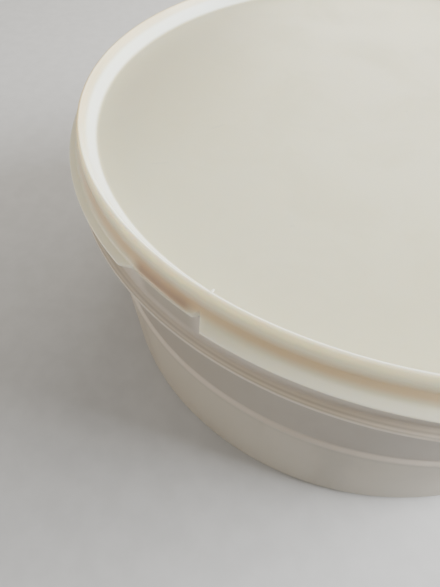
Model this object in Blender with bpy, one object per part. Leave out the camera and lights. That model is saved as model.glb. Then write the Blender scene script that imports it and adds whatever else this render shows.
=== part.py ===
"""Round plastic storage tub with its press-on lid, shut.

Metres, +Z up, the origin at the centre of the base. The finger notch in the
lid's lip is turned 22.5 degrees from -Y towards -X.
"""
import math

import bmesh
import bpy

MM = 0.001

SEGMENTS = 96

# The tub: its wall, foot, ledge, rib and collar.
BASE_RADIUS = 129.9 * MM
BASE_EDGE_ROUND = 3.5 * MM
LEDGE_OUTER_RADIUS = 131.2 * MM
LEDGE_OUTER_Z = 51.0 * MM
LEDGE_INNER_RADIUS = 130.0 * MM
LEDGE_INNER_Z = 52.8 * MM
WALL_TOP_RADIUS = 135.1 * MM
WALL_TOP_Z = 91.6 * MM
RIB_RADIUS = 139.1 * MM
RIB_Z = 93.9 * MM
RIB_THICKNESS = 1.2 * MM
COLLAR_RADIUS = 135.8 * MM
COLLAR_TOP_Z = 107.1 * MM
RIM_TOP_Z = 112.4 * MM

# The lid: its sunken panel, the bead round it and the flared lip.
PLASTIC = 1.2 * MM
PANEL_RADIUS = 128.7 * MM
PANEL_Z = 110.0 * MM
CREST_RADIUS = 133.4 * MM
CREST_Z = 117.9 * MM
CROWN_RADIUS = 134.4 * MM
CROWN_Z = 118.0 * MM
SHOULDER_RADIUS = 135.3 * MM
SHOULDER_Z = 114.4 * MM
COVE_RADIUS = 135.3 * MM
COVE_Z = 111.8 * MM
FLANGE_RADIUS = 137.2 * MM
FLANGE_Z = 108.4 * MM
HOLLOW_TOP_Z = 114.9 * MM
LIP_RADIUS = 140.0 * MM
LIP_TOP_Z = 107.3 * MM
LIP_LOW_Z = 106.2 * MM

# The clear space between the lid and the tub under it.
FIT_GAP = 0.3 * MM

# The finger notch cut into the lip.
NOTCH_RADIUS = 137.3 * MM
NOTCH_CENTRE_ANGLE = -112.5
NOTCH_INNER_ANGLES = (-5.5, 5.3)
NOTCH_CORNER_RADIUS = 135.9 * MM
NOTCH_CORNER_ANGLE = 6.2
NOTCH_REACH = 143.5 * MM
NOTCH_OUTER_ANGLES = (-10.0, 8.4)


def clear_scene():
    for item in list(bpy.data.objects):
        bpy.data.objects.remove(item, do_unlink=True)


def plastic(name, colour, roughness):
    material = bpy.data.materials.new(name)
    material.use_nodes = True
    shader = material.node_tree.nodes["Principled BSDF"]
    shader.inputs["Base Color"].default_value = (*colour, 1.0)
    shader.inputs["Roughness"].default_value = roughness
    return material


def tub_plastic():
    return plastic("tub_plastic", (0.60, 0.56, 0.48), 0.42)


def lid_plastic():
    return plastic("lid_plastic", (0.66, 0.63, 0.56), 0.38)


def rounded(corners):
    """Turn (radius, height, rounding, steps) corners into a smooth outline."""
    outline = []
    last = len(corners) - 1
    for index, (r, z, rounding, steps) in enumerate(corners):
        if rounding == 0.0 or index in (0, last):
            outline.append((r, z))
            continue
        before = corners[index - 1]
        after = corners[index + 1]
        ax, az = before[0] - r, before[1] - z
        bx, bz = after[0] - r, after[1] - z
        a_length = math.hypot(ax, az)
        b_length = math.hypot(bx, bz)
        ax, az = ax / a_length, az / a_length
        bx, bz = bx / b_length, bz / b_length
        half = 0.5 * math.acos(max(-1.0, min(1.0, ax * bx + az * bz)))
        reach = rounding / math.tan(half)
        middle_x, middle_z = ax + bx, az + bz
        middle = math.hypot(middle_x, middle_z)
        distance = rounding / math.sin(half)
        centre_r = r + middle_x / middle * distance
        centre_z = z + middle_z / middle * distance
        start = math.atan2(z + az * reach - centre_z, r + ax * reach - centre_r)
        end = math.atan2(z + bz * reach - centre_z, r + bx * reach - centre_r)
        sweep = (end - start + math.pi) % (2.0 * math.pi) - math.pi
        for step in range(steps + 1):
            angle = start + sweep * step / steps
            outline.append((
                centre_r + rounding * math.cos(angle),
                centre_z + rounding * math.sin(angle),
            ))
    return outline


def turned(name, outline, material):
    """Spin an outline that starts and ends on the axis into a closed solid."""
    mesh = bpy.data.meshes.new(name)
    shape = bmesh.new()
    points = [shape.verts.new((r, 0.0, z)) for r, z in outline]
    edges = [shape.edges.new(pair) for pair in zip(points, points[1:])]
    bmesh.ops.spin(
        shape, geom=points + edges, cent=(0.0, 0.0, 0.0), axis=(0.0, 0.0, 1.0),
        angle=2.0 * math.pi, steps=SEGMENTS, use_merge=True, use_duplicate=False)
    bmesh.ops.remove_doubles(shape, verts=shape.verts[:], dist=1e-6)
    bmesh.ops.recalc_face_normals(shape, faces=shape.faces[:])
    for face in shape.faces:
        face.smooth = True
    shape.to_mesh(mesh)
    shape.free()
    mesh.materials.append(material)
    part = bpy.data.objects.new(name, mesh)
    bpy.context.collection.objects.link(part)
    return part


def tub_outline():
    rib_low_z = RIB_Z - 0.5 * RIB_THICKNESS
    rib_top_z = RIB_Z + 0.5 * RIB_THICKNESS
    rim_radius = SHOULDER_RADIUS - PLASTIC - FIT_GAP
    return rounded([
        (0.0, 0.0, 0.0, 0),
        (BASE_RADIUS, 0.0, BASE_EDGE_ROUND, 3),
        (LEDGE_OUTER_RADIUS, LEDGE_OUTER_Z, 1.0 * MM, 2),
        (LEDGE_INNER_RADIUS, LEDGE_INNER_Z, 0.9 * MM, 2),
        (WALL_TOP_RADIUS, WALL_TOP_Z, 1.2 * MM, 2),
        (RIB_RADIUS, rib_low_z, 0.4 * MM, 1),
        (RIB_RADIUS, rib_top_z, 0.4 * MM, 1),
        (COLLAR_RADIUS, rib_top_z + 0.3 * MM, 0.6 * MM, 1),
        (COLLAR_RADIUS, COLLAR_TOP_Z, 0.9 * MM, 2),
        (rim_radius, COVE_Z - 1.2 * MM, 0.0, 0),
        (rim_radius, RIM_TOP_Z, 0.0, 0),
        (rim_radius - 1.1 * MM, RIM_TOP_Z, 0.0, 0),
        (PANEL_RADIUS + 1.0 * MM, PANEL_Z - PLASTIC - FIT_GAP, 0.0, 0),
        (0.0, PANEL_Z - PLASTIC - FIT_GAP, 0.0, 0),
    ])


def lid_outline():
    return rounded([
        (0.0, PANEL_Z - PLASTIC, 0.0, 0),
        (PANEL_RADIUS + 0.7 * MM, PANEL_Z - PLASTIC, 0.0, 0),
        (SHOULDER_RADIUS - PLASTIC - 0.9 * MM, HOLLOW_TOP_Z, 0.0, 0),
        (SHOULDER_RADIUS - PLASTIC, HOLLOW_TOP_Z - 0.9 * MM, 0.0, 0),
        (COVE_RADIUS - PLASTIC, COVE_Z - 0.4 * MM, 0.0, 0),
        (FLANGE_RADIUS - 0.8 * MM, FLANGE_Z - PLASTIC, 0.0, 0),
        (LIP_RADIUS, LIP_LOW_Z, 0.35 * MM, 1),
        (LIP_RADIUS, LIP_TOP_Z, 0.35 * MM, 1),
        (FLANGE_RADIUS, FLANGE_Z, 1.8 * MM, 2),
        (COVE_RADIUS, COVE_Z, 1.0 * MM, 2),
        (SHOULDER_RADIUS, SHOULDER_Z, 2.0 * MM, 1),
        (CROWN_RADIUS, CROWN_Z, 0.75 * MM, 3),
        (CREST_RADIUS, CREST_Z, 0.9 * MM, 2),
        (PANEL_RADIUS, PANEL_Z, 0.8 * MM, 1),
        (0.0, PANEL_Z, 0.0, 0),
    ])


def notch_cutter():
    """A block whose inner side follows the lip and whose ends are splayed."""
    steps = 8
    first, last = NOTCH_INNER_ANGLES
    rim = [(NOTCH_RADIUS, first + (last - first) * step / steps) for step in range(steps + 1)]
    rim.append((NOTCH_CORNER_RADIUS, NOTCH_CORNER_ANGLE))
    rim.append((NOTCH_REACH, NOTCH_OUTER_ANGLES[1]))
    rim.append((NOTCH_REACH, 0.0))
    rim.append((NOTCH_REACH, NOTCH_OUTER_ANGLES[0]))
    plan = []
    for radius, turn in rim:
        angle = math.radians(NOTCH_CENTRE_ANGLE + turn)
        plan.append((radius * math.cos(angle), radius * math.sin(angle)))
    mesh = bpy.data.meshes.new("notch_cutter")
    shape = bmesh.new()
    low = [shape.verts.new((x, y, LIP_LOW_Z - 2.0 * MM)) for x, y in plan]
    floor = shape.faces.new(low)
    raised = bmesh.ops.extrude_face_region(shape, geom=[floor])["geom"]
    lifted = [item for item in raised if isinstance(item, bmesh.types.BMVert)]
    bmesh.ops.translate(shape, verts=lifted, vec=(0.0, 0.0, COVE_Z - LIP_LOW_Z + 2.2 * MM))
    bmesh.ops.recalc_face_normals(shape, faces=shape.faces[:])
    shape.to_mesh(mesh)
    shape.free()
    cutter = bpy.data.objects.new("notch_cutter", mesh)
    cutter.hide_render = True
    cutter.display_type = "WIRE"
    bpy.context.collection.objects.link(cutter)
    return cutter


def make_tub():
    return turned("tub", tub_outline(), tub_plastic())


def make_lid():
    lid = turned("lid", lid_outline(), lid_plastic())
    cut = lid.modifiers.new("notch", "BOOLEAN")
    cut.operation = "DIFFERENCE"
    cut.solver = "EXACT"
    cut.object = notch_cutter()
    return lid


clear_scene()
make_tub()
make_lid()
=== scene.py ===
import math

import bmesh
import bpy
from mathutils import Matrix, Vector


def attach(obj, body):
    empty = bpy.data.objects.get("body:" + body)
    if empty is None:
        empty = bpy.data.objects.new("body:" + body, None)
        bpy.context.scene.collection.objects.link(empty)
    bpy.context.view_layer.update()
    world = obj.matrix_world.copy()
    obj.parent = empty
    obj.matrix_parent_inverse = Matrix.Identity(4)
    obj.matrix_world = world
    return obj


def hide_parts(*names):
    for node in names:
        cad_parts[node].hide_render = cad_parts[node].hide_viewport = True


MM = 0.001

# The outline of both pieces, as radius and height.
SEGMENTS = 384
BASE_RADIUS = 129.9 * MM
BASE_EDGE_ROUND = 3.5 * MM
LEDGE_OUTER_RADIUS = 131.2 * MM
LEDGE_OUTER_Z = 51.0 * MM
LEDGE_INNER_RADIUS = 130.0 * MM
LEDGE_INNER_Z = 52.8 * MM
WALL_TOP_RADIUS = 135.1 * MM
WALL_TOP_Z = 91.6 * MM
RIB_RADIUS = 139.1 * MM
RIB_Z = 93.9 * MM
RIB_THICKNESS = 1.2 * MM
COLLAR_RADIUS = 135.8 * MM
COLLAR_TOP_Z = 107.1 * MM
RIM_TOP_Z = 112.4 * MM
PLASTIC = 1.2 * MM
PANEL_RADIUS = 128.7 * MM
PANEL_Z = 110.0 * MM
CREST_RADIUS = 133.4 * MM
CREST_Z = 117.9 * MM
CROWN_RADIUS = 134.4 * MM
CROWN_Z = 117.94 * MM
SHOULDER_RADIUS = 135.3 * MM
SHOULDER_Z = 114.4 * MM
COVE_RADIUS = 135.3 * MM
COVE_Z = 111.8 * MM
FLANGE_RADIUS = 137.2 * MM
FLANGE_Z = 108.4 * MM
HOLLOW_TOP_Z = 114.9 * MM
LIP_RADIUS = 140.0 * MM
LIP_TOP_Z = 107.3 * MM
LIP_LOW_Z = 106.2 * MM
FIT_GAP = 0.3 * MM

# The finger notch, seen from above, and how high its block reaches.
NOTCH_STEPS = 24
NOTCH_RADIUS = 137.3 * MM
NOTCH_CENTRE_ANGLE = -112.5
NOTCH_INNER_ANGLES = (-5.5, 5.3)
NOTCH_CORNER_RADIUS = 135.9 * MM
NOTCH_CORNER_ANGLE = 6.2
NOTCH_REACH = 143.5 * MM
NOTCH_OUTER_ANGLES = (-10.0, 8.4)
NOTCH_BLOCK_LOW_Z = LIP_LOW_Z - 2.0 * MM
NOTCH_BLOCK_TOP_Z = COVE_Z + 0.2 * MM
NOTCH_EDGE_ROUND = 0.22 * MM
NOTCH_EDGE_ANGLE = math.radians(38.0)

# The flake of plastic on the bead.
NIB_SIDES = 10
NIB_FOOT_RADIUS = 0.48 * MM
NIB_TIP_RADIUS = 0.22 * MM
NIB_LENGTH = 1.6 * MM
NIB_EDGE_ROUND = 0.06 * MM
NIB_SQUASH = (0.8, 1.3, 1.0)
NIB_RADIUS = 132.85 * MM
NIB_Z = 117.45 * MM
NIB_ANGLE = math.radians(-105.4)
NIB_LEAN = math.radians(-80.0)

# The tones of the lid's cream plastic, and the painted highlight, glow and shade laid over it.
LID_LIGHT = (0.68, 0.605, 0.405, 1.0)
LID_WARM = (0.65, 0.57, 0.37, 1.0)
LID_SMUDGE = (0.59, 0.52, 0.33, 1.0)
# Painted highlight: the near-white tone on the bead's inner slope and, at the left, on the lip's
# edge.
LID_PAINTED_HIGHLIGHT = (0.95, 0.92, 0.73, 1.0)
# Painted glow: a lighter, creamier copy of the lid's plastic for the bead's outer side, cove and
# lip.
LID_PAINTED_GLOW = (0.95, 0.86, 0.62, 1.0)
# Painted shade: the warm brown in the groove below the bead.
LID_GROOVE_SHADE = (0.79, 0.475, 0.25, 1.0)
# Painted shade: the bead's crown darker at the left.
LID_CROWN_SHADE = (0.66, 0.53, 0.31, 1.0)
# Painted shade: the dark brown under the bead at the finger notch.
LID_NOTCH_PAINTED_SHADE = (0.36, 0.235, 0.17, 1.0)
# Painted shade: the panel darker towards its left edge.
LID_PANEL_PAINTED_SHADE = (0.44, 0.395, 0.275, 1.0)
LID_MARK = (0.52, 0.47, 0.34, 1.0)

# The tones of the tub's milky plastic, and the painted light, shade and highlight laid over it.
TUB_LIGHT = (0.345, 0.315, 0.265, 1.0)
TUB_WARM = (0.325, 0.29, 0.245, 1.0)
TUB_SHADE = (0.29, 0.26, 0.22, 1.0)
# Painted shade: the dark tone under the rib and in the rib's dark ring lines.
TUB_PAINTED_SHADE = (0.23, 0.205, 0.17, 1.0)
# Painted light: the pale tone of the collar under the lid's lip, standing in for light coming
# through the plastic.
TUB_COLLAR_PAINTED_LIGHT = (0.66, 0.61, 0.54, 1.0)
TUB_PALE = (0.62, 0.57, 0.46, 1.0)
# Painted highlight: the light lines along the ledge, the rib's edge and the rib's rings.
TUB_GLEAM = (0.74, 0.66, 0.56, 1.0)

# Clouds, smears and grain: scale per metre, detail, roughness and, in two, distortion.
LID_CLOUD = (11.0, 4.0, 0.55)
LID_SMEAR = (34.0, 5.0, 0.6, 0.6)
LID_PITS = (420.0, 3.0, 0.6)
LID_GRAIN = (1600.0, 2.0, 0.5)
LID_WAVES = (18.0, 2.0, 0.5)
TUB_CLOUD = (9.0, 4.0, 0.55)
TUB_FLOW = (30.0, 4.0, 0.6, 0.4)
TUB_SCUFF = (46.0, 4.0, 0.65)
TUB_GRAIN = (1300.0, 2.0, 0.5)
TUB_WAVES = (14.0, 2.0, 0.5)
FLOOR_SPECK = (90.0, 3.0, 0.5)
TUB_FLOW_STRETCH = (1.0, 1.0, 0.22)
TUB_SCUFF_STRETCH = (1.0, 1.0, 16.0)

# The noise values between which each of them comes in.
LID_CLOUD_SPAN = (0.35, 0.68)
LID_SMEAR_SPAN = (0.46, 0.66)
RUBBED_SMEAR_SPAN = (0.44, 0.62)
SMEAR_DULL_SPAN = (0.4, 0.7)
TUB_CLOUD_SPAN = (0.34, 0.68)
TUB_FLOW_SPAN = (0.48, 0.70)
TUB_SCUFF_SPAN = (0.64, 0.74)
SCUFFED_CLOUD_SPAN = (0.42, 0.6)
FLOOR_SPECK_SPAN = (0.3, 0.7)

# Where a shade changes, from and to this place along X.
# The panel's painted shade is full left of the first place and gone right of the second.
PANEL_SHADE_SIDE = (-124.0 * MM, -55.0 * MM)
LEFT_SIDE = (-120.0 * MM, -85.0 * MM)

# Where a shade changes, from and to this distance from the axis.
PANEL_EDGE = (PANEL_RADIUS - 1.5 * MM, PANEL_RADIUS)
INNER_SLOPE = (PANEL_RADIUS, PANEL_RADIUS + 0.7 * MM)
BEAD_GLOSS = (PANEL_RADIUS + 0.5 * MM, CREST_RADIUS)
CROWN_START = (130.6 * MM, 132.2 * MM)
BEAD_OUTSIDE = (133.6 * MM, 134.5 * MM)
LIP_EDGE = (LIP_RADIUS - 0.7 * MM, LIP_RADIUS - 0.1 * MM)
RIB_EDGE = (RIB_RADIUS - 1.4 * MM, RIB_RADIUS - 0.4 * MM)

# Where a shade changes, from and to this height.
PANEL_TOP = (PANEL_Z - 0.5 * MM, PANEL_Z - 0.1 * MM)
CROWN_FOOT = (CREST_Z - 4.6 * MM, CREST_Z - 2.4 * MM)
GROOVE_TOP = (COVE_Z - 0.8 * MM, CREST_Z - 1.6 * MM)
GROOVE_FOOT = (COVE_Z - 4.0 * MM, COVE_Z - 1.0 * MM)
FOOT_SHADE = (0.4 * MM, 4.5 * MM)
LOW_WALL = (LEDGE_OUTER_Z - 4.0 * MM, LEDGE_INNER_Z)
UNDER_RIB_START = (WALL_TOP_Z - 10.0 * MM, WALL_TOP_Z)
UNDER_RIB_END = (WALL_TOP_Z, RIB_Z)
COLLAR_START = (RIB_Z - 1.0 * MM, RIB_Z + 1.0 * MM)
COLLAR_BARE = (95.5 * MM, 98.5 * MM)

# Bands of painted shade and painted highlight: the height of the middle, and half the width.
NOTCH_FLOOR = (FLANGE_Z + 1.0 * MM, 3.2 * MM)
LEDGE_LINE = (0.5 * (LEDGE_OUTER_Z + LEDGE_INNER_Z), 2.2 * MM)
RIB_LINE = (RIB_Z, 1.6 * MM)

# How far from the notch's centre its shade starts to fade, and ends.
NOTCH_SHADE = (9.0 * MM, 15.0 * MM)

# How much farther in the bead's outer side starts at the left.
LEFT_SHIFT = 1.1 * MM

# Fine rings on the rib's upper face, drawn as lines of painted highlight and painted shade:
# radius, half width in millimetres, strength, tone.
RIB_RINGS = (
    (138.75, 0.35, 0.40, TUB_PAINTED_SHADE),
    (138.20, 0.35, 0.30, TUB_GLEAM),
    (137.50, 0.45, 0.28, TUB_PAINTED_SHADE),
    (136.80, 0.45, 0.22, TUB_GLEAM),
)

# Marks on the panel in millimetres: x, y, length, turn in degrees, width.
PANEL_SCRATCHES = (
    (-78.4, -74.3, 5.6, 27.0, 0.75),
    (-67.4, -44.5, 4.8, 50.0, 0.75),
)

# Small spots on the panel in millimetres: x, y, size.
PANEL_SPECKS = (
    (-97.0, -29.0, 0.9),
    (-80.0, -29.0, 0.8),
    (-96.0, -61.0, 0.9),
    (-51.0, -21.0, 0.8),
    (-27.0, -7.0, 0.7),
    (1.0, -7.0, 0.8),
    (-24.0, -89.0, 0.9),
)

# A spot's length as a share of its size, its turn, and how much of a mark's width is full.
SPECK_LENGTH = 0.6
SPECK_TURN = 0.7
MARK_CORE = 0.35

# Fine rub marks on the panel: scale, stretch, turn, and the noise values where they come in.
PANEL_RUBS = (
    (60.0, (1.0, 26.0, 1.0), 0.50, (0.66, 0.74)),
    (52.0, (24.0, 1.0, 1.0), 0.35, (0.67, 0.75)),
)
RUB_DETAIL = 3.0
RUB_ROUGHNESS = 0.6

# Relief in the surfaces: depth and strength.
LID_GRAIN_BUMP = (0.12 * MM, 0.30)
LID_WAVE_BUMP = (0.6 * MM, 0.22)
TUB_GRAIN_BUMP = (0.12 * MM, 0.32)
TUB_WAVE_BUMP = (0.8 * MM, 0.25)
FLOOR_BUMP = (0.2 * MM, 0.1)

# How much light the plastics let in, how far it goes in each colour, and their shine.
LID_GLOW = 0.60
LID_GLOW_REACH = (1.0, 0.70, 0.42)
TUB_GLOW = 0.22
TUB_GLOW_REACH = (1.0, 0.75, 0.5)
GLOW_DEPTH = 8.0 * MM
PLASTIC_ROUGHNESS = 0.40
PLASTIC_IOR = 1.49
PLASTIC_SHINE = 0.42

# The sockets of a colour Mix node.
MIX_AMOUNT, MIX_FIRST, MIX_SECOND, MIX_RESULT = 0, 6, 7, 2

# The floor.
FLOOR_HALF = 3.0
FLOOR_DROP = 0.4 * MM
FLOOR_ROUGHNESS = 0.65
FLOOR_DARK = (0.47, 0.47, 0.46, 1.0)
FLOOR_PALE = (0.50, 0.50, 0.49, 1.0)

# Soft lights: name, place, aim, size, watts, colour.
LIGHTS = (
    ("window", (0.92, 0.26, 0.58), (0.0, 0.0, 0.10), (0.8, 0.6), 46.0, (0.97, 0.98, 1.0)),
    ("back_window", (0.3, 1.15, 0.70), (0.0, 0.0, 0.10), (1.5, 0.5), 24.0, (1.0, 0.94, 0.84)),
    ("ceiling", (0.0, 0.2, 1.8), (0.0, 0.0, 0.0), (2.0, 2.0), 3.0, (1.0, 0.97, 0.92)),
    ("front_fill", (-0.3, -1.1, 1.2), (0.0, 0.0, 0.08), (1.2, 1.0), 3.0, (1.0, 0.95, 0.88)),
    ("left_fill", (-1.2, -0.5, 0.45), (0.0, 0.0, 0.10), (0.9, 0.5), 7.5, (1.0, 0.86, 0.70)),
)
BACKDROP_COLOUR = (0.86, 0.88, 0.90, 1.0)
BACKDROP_STRENGTH = 0.35

# Where the camera stands, from the tub's axis and the floor.
CAMERA_REACH = 193.2 * MM
CAMERA_HEIGHT = 208.4 * MM
CAMERA_PAN = math.radians(-24.40)
CAMERA_TILT = math.radians(52.19)
CAMERA_ROLL = math.radians(-1.09)
CAMERA_ORBIT = math.radians(-1.75)
CAMERA_LENS = 27.05
CAMERA_SENSOR = 36.0
CAMERA_NEAREST = 0.01


class Signal:
    """A shader output that takes part in plain arithmetic."""

    def __init__(self, bench, socket):
        self.bench = bench
        self.socket = socket

    def _with(self, operation, *others):
        values = {index: item for index, item in enumerate((self, *others))}
        return self.bench.place("ShaderNodeMath", {"operation": operation}, values)

    def __add__(self, other):
        return self._with("ADD", other)

    __radd__ = __add__

    def __sub__(self, other):
        return self._with("SUBTRACT", other)

    def __rsub__(self, other):
        return self._with("MULTIPLY", -1.0)._with("ADD", other)

    def __mul__(self, other):
        return self._with("MULTIPLY", other)

    __rmul__ = __mul__

    def __abs__(self):
        return self._with("ABSOLUTE")

    def root(self):
        return self._with("SQRT")

    def at_least(self, other):
        return self._with("MAXIMUM", other)

    def at_most(self, other):
        return self._with("MINIMUM", other)

    def rise(self, low, high):
        """0 below low, 1 above high, with a soft change between."""
        return self.bench.place(
            "ShaderNodeMapRange", {"interpolation_type": "SMOOTHSTEP", "clamp": True},
            {"Value": self, "From Min": low, "From Max": high, "To Min": 0.0, "To Max": 1.0})

    def fall(self, low, high):
        return 1.0 - self.rise(low, high)

    def band(self, centre, half):
        """1 at the centre, fading to 0 at half a band's width from it."""
        return abs(self - centre).fall(0.0, half)


class Bench:
    """One material's nodes, and the object's own coordinates."""

    def __init__(self, name):
        self.material = bpy.data.materials.new(name)
        self.material.use_nodes = True
        self.tree = self.material.node_tree
        self.shader = self.tree.nodes["Principled BSDF"]
        self.spot = self.place("ShaderNodeTexCoord", {}, {}, "Object")
        self.x, self.y, self.z = self.split(self.spot)
        self.radius = (self.x * self.x + self.y * self.y).root()

    def place(self, kind, settings, inputs, output=0):
        node = self.tree.nodes.new(kind)
        for key, value in settings.items():
            setattr(node, key, value)
        for key, value in inputs.items():
            if isinstance(value, Signal):
                self.tree.links.new(value.socket, node.inputs[key])
            else:
                node.inputs[key].default_value = value
        return Signal(self, node.outputs[output])

    def split(self, vector):
        first = self.place("ShaderNodeSeparateXYZ", {}, {"Vector": vector})
        return [Signal(self, first.socket.node.outputs[axis]) for axis in ("X", "Y", "Z")]

    def stretched(self, scale, turn=0.0):
        """The object's coordinates, scaled and then turned about the upright axis."""
        return self.place(
            "ShaderNodeMapping", {},
            {"Vector": self.spot, "Scale": scale, "Rotation": (0.0, 0.0, turn)})

    def noise(self, scale, detail, roughness, distortion=0.0, vector=None):
        return self.place(
            "ShaderNodeTexNoise", {},
            {"Vector": vector or self.spot, "Scale": scale, "Detail": detail,
             "Roughness": roughness, "Distortion": distortion})

    def blend(self, amount, first, second):
        return self.place(
            "ShaderNodeMix", {"data_type": "RGBA", "blend_type": "MIX"},
            {MIX_AMOUNT: amount, MIX_FIRST: first, MIX_SECOND: second}, MIX_RESULT)

    def layered(self, colour, layers):
        """Lay each (mask, strength, tone) over the colour below it."""
        for mask, strength, tone in layers:
            colour = self.blend(mask * strength, colour, tone)
        return colour

    def mark(self, x, y, length, turn, width):
        """A short straight mark lying flat on the panel."""
        across, along = math.cos(turn), math.sin(turn)
        dx = self.x - x
        dy = self.y - y
        u = (abs(dx * across + dy * along) - 0.5 * length).at_least(0.0)
        v = dy * across - dx * along
        return (u * u + v * v).root().fall(MARK_CORE * width, width)

    def near_notch(self):
        """1 at the finger notch, fading to 0 past its ends."""
        turn = math.radians(NOTCH_CENTRE_ANGLE)
        dx = self.x - NOTCH_RADIUS * math.cos(turn)
        dy = self.y - NOTCH_RADIUS * math.sin(turn)
        return (dx * dx + dy * dy).root().fall(*NOTCH_SHADE)

    def bump(self, height, distance, strength, normal=None):
        inputs = {"Height": height, "Distance": distance, "Strength": strength}
        if normal is not None:
            inputs["Normal"] = normal
        return self.place("ShaderNodeBump", {}, inputs)

    def finish(self, colour, roughness, normal, **constants):
        for name, signal in (("Base Color", colour), ("Roughness", roughness), ("Normal", normal)):
            self.tree.links.new(signal.socket, self.shader.inputs[name])
        for name, value in constants.items():
            self.shader.inputs[name.replace("_", " ")].default_value = value
        return self.material


def strongest(masks):
    """The highest of several masks at each place."""
    best, *others = masks
    for mask in others:
        best = best.at_least(mask)
    return best


def panel_scratches(bench):
    return strongest([
        bench.mark(x * MM, y * MM, length * MM, math.radians(turn), width * MM)
        for x, y, length, turn, width in PANEL_SCRATCHES])


def panel_specks(bench):
    return strongest([
        bench.mark(x * MM, y * MM, SPECK_LENGTH * size * MM, SPECK_TURN, size * MM)
        for x, y, size in PANEL_SPECKS])


def panel_rubs(bench, smear):
    """Fine straight marks in two directions, only where the panel is smeared."""
    lines = 0.0
    for scale, stretch, turn, span in PANEL_RUBS:
        along = bench.stretched(stretch, turn)
        lines = lines + bench.noise(scale, RUB_DETAIL, RUB_ROUGHNESS, vector=along).rise(*span)
    return (lines * smear.rise(*RUBBED_SMEAR_SPAN)).at_most(1.0)


def lid_finish():
    bench = Bench("lid_cream_plastic")
    cloud = bench.noise(*LID_CLOUD)
    smear = bench.noise(*LID_SMEAR)
    grain = bench.noise(*LID_GRAIN)
    pits = bench.noise(*LID_PITS)
    cloudy = 0.80 + 0.20 * cloud

    on_panel = bench.radius.fall(*PANEL_EDGE) * bench.z.rise(*PANEL_TOP)
    hairs = panel_rubs(bench, smear) * on_panel
    scratches = panel_scratches(bench) * on_panel
    specks = panel_specks(bench) * on_panel

    left = bench.x.fall(*LEFT_SIDE)
    outside = (bench.radius + left * LEFT_SHIFT).rise(*BEAD_OUTSIDE)
    inner_slope = bench.radius.rise(*INNER_SLOPE) * (1.0 - outside)
    on_bead = bench.radius.rise(*BEAD_GLOSS)
    crown_shade = bench.radius.rise(*CROWN_START) * bench.z.rise(*CROWN_FOOT)
    groove_shade = bench.z.fall(*GROOVE_TOP) * bench.z.rise(*GROOVE_FOOT) * outside
    notch_floor_shade = bench.z.band(*NOTCH_FLOOR) * outside * bench.near_notch()
    lip_gleam = bench.radius.rise(*LIP_EDGE)

    cream = bench.layered(LID_LIGHT, (
        (cloud.rise(*LID_CLOUD_SPAN), 1.0, LID_WARM),
        (smear.rise(*LID_SMEAR_SPAN), 0.30, LID_SMUDGE),
        # Painted shade over the panel's left side.
        (bench.x.fall(*PANEL_SHADE_SIDE) * on_panel, 0.80, LID_PANEL_PAINTED_SHADE),
        (hairs, 0.22, LID_SMUDGE),
        # Painted highlight along the bead's inner slope.
        (inner_slope, cloudy, LID_PAINTED_HIGHLIGHT),
        # Painted glow over the bead's outer side, cove and lip.
        (outside, cloudy, LID_PAINTED_GLOW),
        # Painted shade on the bead's crown at the left.
        (crown_shade * left, 0.85, LID_CROWN_SHADE),
        # Painted shade in the groove below the bead, weaker on the lit left side.
        (groove_shade * (1.0 - 0.45 * left), 0.66 + 0.30 * cloud, LID_GROOVE_SHADE),
        # Painted shade under the bead at the finger notch.
        (notch_floor_shade, 0.85, LID_NOTCH_PAINTED_SHADE),
        # Painted highlight on the lip's outer edge at the left.
        (lip_gleam * left, 0.80, LID_PAINTED_HIGHLIGHT),
        (scratches, 0.42, LID_MARK),
        (specks, 0.30, LID_MARK),
    ))
    smeared = smear.rise(*SMEAR_DULL_SPAN) * on_panel
    roughness = PLASTIC_ROUGHNESS + 0.12 * cloud + 0.10 * smeared + 0.12 * hairs - 0.22 * on_bead
    relief = (grain * 0.10 + pits * 0.18 + smear * 0.25
              - scratches * 0.9 - specks * 0.5 - hairs * 0.12)
    normal = bench.bump(relief, *LID_GRAIN_BUMP)
    normal = bench.bump(bench.noise(*LID_WAVES), *LID_WAVE_BUMP, normal)
    return bench.finish(
        cream, roughness, normal, Subsurface_Weight=LID_GLOW, Subsurface_Radius=LID_GLOW_REACH,
        Subsurface_Scale=GLOW_DEPTH, IOR=PLASTIC_IOR, Specular_IOR_Level=PLASTIC_SHINE)


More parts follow.
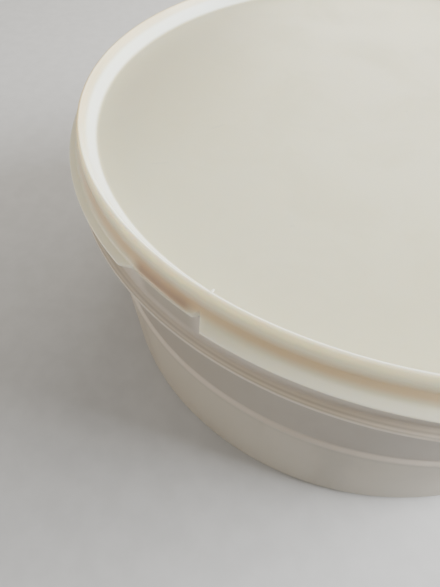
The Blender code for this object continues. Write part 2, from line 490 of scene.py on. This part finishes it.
def tub_finish():
    bench = Bench("tub_milky_plastic")
    cloud = bench.noise(*TUB_CLOUD)
    flow = bench.noise(*TUB_FLOW, vector=bench.stretched(TUB_FLOW_STRETCH))
    grain = bench.noise(*TUB_GRAIN)
    scuff = bench.noise(*TUB_SCUFF, vector=bench.stretched(TUB_SCUFF_STRETCH))
    scuffs = scuff.rise(*TUB_SCUFF_SPAN) * cloud.rise(*SCUFFED_CLOUD_SPAN)

    under_rib_shadow = bench.z.rise(*UNDER_RIB_START) * bench.z.fall(*UNDER_RIB_END)
    rib_edge = bench.z.band(*RIB_LINE) * bench.radius.rise(*RIB_EDGE)
    collar = bench.z.rise(*COLLAR_START)
    bare = bench.near_notch() * bench.z.rise(*COLLAR_BARE)
    rings = [
        (bench.radius.band(ring_radius * MM, half * MM), strength, tone)
        for ring_radius, half, strength, tone in RIB_RINGS]

    milk = bench.layered(TUB_LIGHT, (
        (cloud.rise(*TUB_CLOUD_SPAN), 1.0, TUB_WARM),
        (bench.z.fall(*LOW_WALL), 0.33, TUB_PALE),
        # Painted shadow on the wall under the rib.
        (under_rib_shadow, 0.60, TUB_PAINTED_SHADE),
        (flow.rise(*TUB_FLOW_SPAN), 0.35, TUB_SHADE),
        (scuffs, 0.30, TUB_PALE),
        (bench.z.fall(*FOOT_SHADE), 0.40, TUB_PALE),
        # Painted light on the collar under the lip, less of it where the notch bares the collar.
        (collar, 0.62 - 0.50 * bare, TUB_COLLAR_PAINTED_LIGHT),
        # Painted highlight along the ledge.
        (bench.z.band(*LEDGE_LINE), 0.50, TUB_GLEAM),
        # Painted highlight along the rib's edge.
        (rib_edge, 0.30, TUB_GLEAM),
        *rings,
    ))
    roughness = PLASTIC_ROUGHNESS + 0.12 * cloud + 0.10 * flow + 0.12 * scuffs
    relief = grain * 0.12 + flow * 0.30 + scuffs * 0.22
    normal = bench.bump(relief, *TUB_GRAIN_BUMP)
    normal = bench.bump(bench.noise(*TUB_WAVES), *TUB_WAVE_BUMP, normal)
    return bench.finish(
        milk, roughness, normal, Subsurface_Weight=TUB_GLOW, Subsurface_Radius=TUB_GLOW_REACH,
        Subsurface_Scale=GLOW_DEPTH, IOR=PLASTIC_IOR, Specular_IOR_Level=PLASTIC_SHINE)


def floor_finish():
    bench = Bench("floor_pale")
    speck = bench.noise(*FLOOR_SPECK)
    colour = bench.blend(speck.rise(*FLOOR_SPECK_SPAN), FLOOR_DARK, FLOOR_PALE)
    roughness = FLOOR_ROUGHNESS + 0.1 * speck
    return bench.finish(colour, roughness, bench.bump(speck, *FLOOR_BUMP))


def rounded(corners):
    """Turn (radius, height, rounding, steps) corners into a smooth outline."""
    outline = []
    last = len(corners) - 1
    for index, (r, z, rounding, steps) in enumerate(corners):
        if rounding == 0.0 or index in (0, last):
            outline.append((r, z))
            continue
        corner = Vector((r, z))
        before = (Vector(corners[index - 1][:2]) - corner).normalized()
        after = (Vector(corners[index + 1][:2]) - corner).normalized()
        half = 0.5 * before.angle(after)
        reach = rounding / math.tan(half)
        centre = corner + (before + after).normalized() * rounding / math.sin(half)
        first = corner + before * reach - centre
        second = corner + after * reach - centre
        start = math.atan2(first.y, first.x)
        end = math.atan2(second.y, second.x)
        sweep = (end - start + math.pi) % (2.0 * math.pi) - math.pi
        for step in range(steps + 1):
            angle = start + sweep * step / steps
            outline.append((
                centre.x + rounding * math.cos(angle),
                centre.y + rounding * math.sin(angle),
            ))
    return outline


def turned(outline):
    """Spin an outline that starts and ends on the axis into a closed skin."""
    shape = bmesh.new()
    points = [shape.verts.new((r, 0.0, z)) for r, z in outline]
    edges = [shape.edges.new(pair) for pair in zip(points, points[1:])]
    bmesh.ops.spin(
        shape, geom=points + edges, cent=(0.0, 0.0, 0.0), axis=(0.0, 0.0, 1.0),
        angle=2.0 * math.pi, steps=SEGMENTS, use_merge=True, use_duplicate=False)
    bmesh.ops.remove_doubles(shape, verts=shape.verts[:], dist=1e-6)
    bmesh.ops.recalc_face_normals(shape, faces=shape.faces[:])
    return shape


def piece_from(name, shape, material):
    mesh = bpy.data.meshes.new(name)
    for face in shape.faces:
        face.smooth = True
    shape.to_mesh(mesh)
    shape.free()
    mesh.materials.append(material)
    piece = bpy.data.objects.new(name, mesh)
    bpy.context.collection.objects.link(piece)
    return piece


def tub_outline():
    rib_low_z = RIB_Z - 0.5 * RIB_THICKNESS
    rib_top_z = RIB_Z + 0.5 * RIB_THICKNESS
    rim_radius = SHOULDER_RADIUS - PLASTIC - FIT_GAP
    return rounded([
        (0.0, 0.0, 0.0, 0),
        (BASE_RADIUS, 0.0, BASE_EDGE_ROUND, 10),
        (LEDGE_OUTER_RADIUS, LEDGE_OUTER_Z, 1.0 * MM, 6),
        (LEDGE_INNER_RADIUS, LEDGE_INNER_Z, 0.9 * MM, 6),
        (WALL_TOP_RADIUS, WALL_TOP_Z, 1.2 * MM, 6),
        (RIB_RADIUS, rib_low_z, 0.45 * MM, 4),
        (RIB_RADIUS, rib_top_z, 0.45 * MM, 4),
        (COLLAR_RADIUS, rib_top_z + 0.3 * MM, 0.6 * MM, 4),
        (COLLAR_RADIUS, COLLAR_TOP_Z, 0.9 * MM, 5),
        (rim_radius, COVE_Z - 1.2 * MM, 0.0, 0),
        (rim_radius, RIM_TOP_Z, 0.0, 0),
        (rim_radius - 1.1 * MM, RIM_TOP_Z, 0.0, 0),
        (PANEL_RADIUS + 1.0 * MM, PANEL_Z - PLASTIC - FIT_GAP, 0.0, 0),
        (0.0, PANEL_Z - PLASTIC - FIT_GAP, 0.0, 0),
    ])


def lid_outline():
    return rounded([
        (0.0, PANEL_Z - PLASTIC, 0.0, 0),
        (PANEL_RADIUS + 0.7 * MM, PANEL_Z - PLASTIC, 0.0, 0),
        (SHOULDER_RADIUS - PLASTIC - 0.9 * MM, HOLLOW_TOP_Z, 0.0, 0),
        (SHOULDER_RADIUS - PLASTIC, HOLLOW_TOP_Z - 0.9 * MM, 0.0, 0),
        (COVE_RADIUS - PLASTIC, COVE_Z - 0.4 * MM, 0.5 * MM, 3),
        (FLANGE_RADIUS - 0.8 * MM, FLANGE_Z - PLASTIC, 0.8 * MM, 4),
        (LIP_RADIUS, LIP_LOW_Z, 0.4 * MM, 4),
        (LIP_RADIUS, LIP_TOP_Z, 0.4 * MM, 4),
        (FLANGE_RADIUS, FLANGE_Z, 1.8 * MM, 8),
        (COVE_RADIUS, COVE_Z, 1.0 * MM, 6),
        (SHOULDER_RADIUS, SHOULDER_Z, 2.0 * MM, 5),
        (CROWN_RADIUS, CROWN_Z, 0.75 * MM, 8),
        (CREST_RADIUS, CREST_Z, 0.9 * MM, 8),
        (PANEL_RADIUS, PANEL_Z, 0.8 * MM, 6),
        (0.0, PANEL_Z, 0.0, 0),
    ])


def notch_block():
    """A block whose inner side follows the lip and whose ends are splayed."""
    first, last = NOTCH_INNER_ANGLES
    plan = [
        (NOTCH_RADIUS, first + (last - first) * step / NOTCH_STEPS)
        for step in range(NOTCH_STEPS + 1)]
    plan.append((NOTCH_CORNER_RADIUS, NOTCH_CORNER_ANGLE))
    plan.append((NOTCH_REACH, NOTCH_OUTER_ANGLES[1]))
    plan.append((NOTCH_REACH, 0.0))
    plan.append((NOTCH_REACH, NOTCH_OUTER_ANGLES[0]))
    shape = bmesh.new()
    outline = []
    for radius, turn in plan:
        angle = math.radians(NOTCH_CENTRE_ANGLE + turn)
        outline.append(shape.verts.new((
            radius * math.cos(angle), radius * math.sin(angle), NOTCH_BLOCK_LOW_Z)))
    floor = shape.faces.new(outline)
    raised = bmesh.ops.extrude_face_region(shape, geom=[floor])["geom"]
    lifted = [item for item in raised if isinstance(item, bmesh.types.BMVert)]
    height = NOTCH_BLOCK_TOP_Z - NOTCH_BLOCK_LOW_Z
    bmesh.ops.translate(shape, verts=lifted, vec=(0.0, 0.0, height))
    bmesh.ops.recalc_face_normals(shape, faces=shape.faces[:])
    return shape


def make_tub():
    tub = piece_from("milky_tub", turned(tub_outline()), tub_finish())
    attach(tub, "root")
    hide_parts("tub")


def cut_notch(lid, finish):
    """Take the finger notch out of the lid's lip, in the lid's own mesh."""
    block = piece_from("notch_block", notch_block(), finish)
    cut = lid.modifiers.new("notch", "BOOLEAN")
    cut.operation = "DIFFERENCE"
    cut.solver = "EXACT"
    cut.object = block
    bpy.context.view_layer.update()
    whole = lid.evaluated_get(bpy.context.evaluated_depsgraph_get())
    cut_mesh = bpy.data.meshes.new_from_object(whole)
    lid.modifiers.clear()
    lid.data = cut_mesh
    bpy.data.objects.remove(block, do_unlink=True)


def make_lid(finish):
    lid = piece_from("press_on_lid", turned(lid_outline()), finish)
    cut_notch(lid, finish)
    soft = lid.modifiers.new("edge_round", "BEVEL")
    soft.width = NOTCH_EDGE_ROUND
    soft.segments = 2
    soft.limit_method = "ANGLE"
    soft.angle_limit = NOTCH_EDGE_ANGLE
    soft.harden_normals = False
    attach(lid, "root")
    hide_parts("lid")


def make_nib(finish):
    """The flake of plastic left on the bead's inner edge."""
    shape = bmesh.new()
    bmesh.ops.create_cone(
        shape, cap_ends=True, segments=NIB_SIDES, radius1=NIB_FOOT_RADIUS,
        radius2=NIB_TIP_RADIUS, depth=NIB_LENGTH)
    bmesh.ops.bevel(
        shape, geom=shape.edges[:], affect="EDGES", offset=NIB_EDGE_ROUND, segments=2,
        profile=0.5, material=-1)
    centre = (0.0, 0.0, 0.0)
    lean = Matrix.Rotation(NIB_LEAN, 3, "Y")
    turn = Matrix.Rotation(NIB_ANGLE, 3, "Z")
    bmesh.ops.scale(shape, verts=shape.verts[:], vec=NIB_SQUASH)
    bmesh.ops.rotate(shape, verts=shape.verts[:], cent=centre, matrix=lean)
    bmesh.ops.translate(shape, verts=shape.verts[:], vec=(NIB_RADIUS, 0.0, NIB_Z))
    bmesh.ops.rotate(shape, verts=shape.verts[:], cent=centre, matrix=turn)
    bmesh.ops.recalc_face_normals(shape, faces=shape.faces[:])
    nib = piece_from("moulding_nib", shape, finish)
    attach(nib, "root")


def make_floor():
    shape = bmesh.new()
    bmesh.ops.create_grid(shape, x_segments=1, y_segments=1, size=FLOOR_HALF)
    bmesh.ops.translate(shape, verts=shape.verts[:], vec=(0.0, 0.0, -FLOOR_DROP))
    floor = piece_from("floor", shape, floor_finish())


def make_light(name, place, aim, size, power, colour):
    lamp = bpy.data.lights.new(name, "AREA")
    lamp.shape = "RECTANGLE"
    lamp.size, lamp.size_y = size
    lamp.energy = power
    lamp.color = colour
    holder = bpy.data.objects.new(name, lamp)
    toward = Vector(aim) - Vector(place)
    turn = toward.to_track_quat("-Z", "Y").to_matrix().to_4x4()
    holder.matrix_world = Matrix.Translation(place) @ turn
    bpy.context.collection.objects.link(holder)


def make_backdrop():
    world = bpy.data.worlds.new("studio")
    bpy.context.scene.world = world
    world.use_nodes = True
    backdrop = world.node_tree.nodes["Background"]
    backdrop.inputs["Color"].default_value = BACKDROP_COLOUR
    backdrop.inputs["Strength"].default_value = BACKDROP_STRENGTH


def make_camera():
    pan_sin, pan_cos = math.sin(CAMERA_PAN), math.cos(CAMERA_PAN)
    tilt_sin, tilt_cos = math.sin(CAMERA_TILT), math.cos(CAMERA_TILT)
    forward = Vector((pan_sin * tilt_cos, pan_cos * tilt_cos, -tilt_sin))
    level = Vector((pan_cos, -pan_sin, 0.0))
    upright = level.cross(forward)
    right = level * math.cos(CAMERA_ROLL) + upright * math.sin(CAMERA_ROLL)
    up = upright * math.cos(CAMERA_ROLL) - level * math.sin(CAMERA_ROLL)
    stand = Matrix((
        (right.x, up.x, -forward.x, 0.0),
        (right.y, up.y, -forward.y, -CAMERA_REACH),
        (right.z, up.z, -forward.z, CAMERA_HEIGHT),
        (0.0, 0.0, 0.0, 1.0),
    ))
    lens = bpy.data.cameras.new("camera")
    lens.sensor_fit = "AUTO"
    lens.sensor_width = CAMERA_SENSOR
    lens.lens = CAMERA_LENS
    lens.clip_start = CAMERA_NEAREST
    camera = bpy.data.objects.new("camera", lens)
    camera.matrix_world = Matrix.Rotation(CAMERA_ORBIT, 4, "Z") @ stand
    bpy.context.collection.objects.link(camera)
    bpy.context.scene.camera = camera


def corners(box):
    return [list(map(float, corner)) for corner in box]


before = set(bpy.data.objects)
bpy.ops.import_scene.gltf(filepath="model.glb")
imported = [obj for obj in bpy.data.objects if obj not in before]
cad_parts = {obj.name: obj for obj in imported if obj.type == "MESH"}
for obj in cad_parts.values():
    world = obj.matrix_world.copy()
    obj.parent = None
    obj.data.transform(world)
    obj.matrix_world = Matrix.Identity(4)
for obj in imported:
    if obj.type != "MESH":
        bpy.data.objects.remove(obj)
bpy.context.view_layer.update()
make_tub()
cream_plastic = lid_finish()
make_lid(cream_plastic)
make_nib(cream_plastic)
make_floor()
for light in LIGHTS:
    make_light(*light)
make_backdrop()
make_camera()
bpy.context.view_layer.update()
